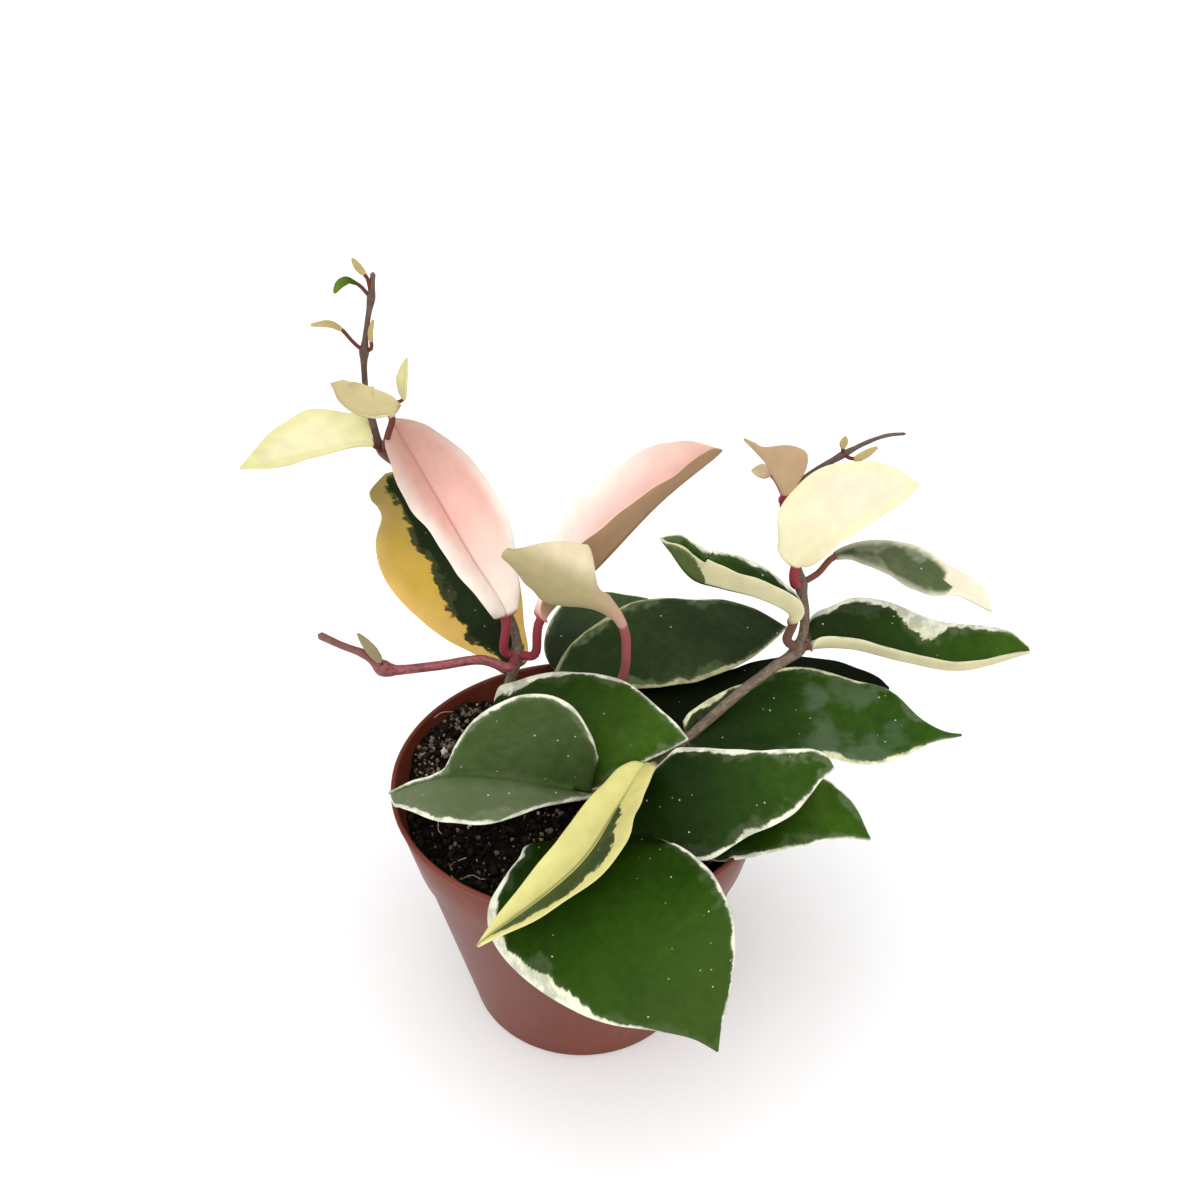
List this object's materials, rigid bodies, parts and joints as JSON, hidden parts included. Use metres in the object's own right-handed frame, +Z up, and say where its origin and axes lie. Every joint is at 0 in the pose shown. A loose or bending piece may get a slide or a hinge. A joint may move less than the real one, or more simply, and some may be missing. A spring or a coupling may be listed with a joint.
{
  "type": "potted wax plant",
  "caption": "Young variegated wax plant: woody climbing stems with folded, cream-edged leaves, standing in a round thin-walled plastic nursery pot.",
  "frame": {"origin": "centre of the pot's underside, on the surface that the pot stands on", "axes": "+Z up, +X to the right and -Y to the front, seen from the side with the large leaf over the rim"},
  "size_m": [0.2076, 0.1456, 0.2121],
  "materials": {
    "pot_plastic": "satin",
    "soil": "matte",
    "stem_bark": "matte",
    "shoot_skin": "satin",
    "leaf_green": "satin",
    "leaf_dark_green": "satin",
    "leaf_grey_green": "satin",
    "leaf_pink": "satin",
    "leaf_khaki": "satin",
    "leaf_tan": "satin",
    "leaf_cream": "satin",
    "leaf_yellow": "satin"
  },
  "bodies": {
    "root": {"pot": "pot_plastic", "soil": "soil", "stem_left": "stem_bark", "stem_right": "stem_bark", "stem_middle": "stem_bark", "red_shoot": "shoot_skin", "leaf_pink_left": "leaf_pink", "leaf_pink_right": "leaf_pink", "leaf_khaki": "leaf_khaki", "leaf_yellow": "leaf_yellow", "leaf_fold_left": "leaf_grey_green", "leaf_arch": "leaf_green", "leaf_cream_fold": "leaf_cream", "leaf_front": "leaf_green", "leaf_right_upper": "leaf_green", "leaf_right_lower": "leaf_dark_green", "leaf_right_wide": "leaf_green", "leaf_back_right": "leaf_dark_green", "leaf_middle_wide": "leaf_dark_green", "leaf_back": "leaf_dark_green", "leaf_first_right": "leaf_green", "leaf_first_left": "leaf_green", "leaf_second_right": "leaf_grey_green", "leaf_second_left": "leaf_cream", "leaf_third_left": "leaf_tan", "leaf_third_scrap": "leaf_khaki", "leaf_pale_left": "leaf_cream", "leaf_bowl": "leaf_cream", "leaf_upright": "leaf_cream", "leaf_upper_left": "leaf_khaki", "leaf_upper_right": "leaf_khaki", "leaf_top_left": "leaf_green", "leaf_top_right": "leaf_khaki", "bud_red_shoot": "leaf_khaki", "bud_right_upper": "leaf_khaki", "bud_right_lower": "leaf_khaki"}
  },
  "joints": []
}
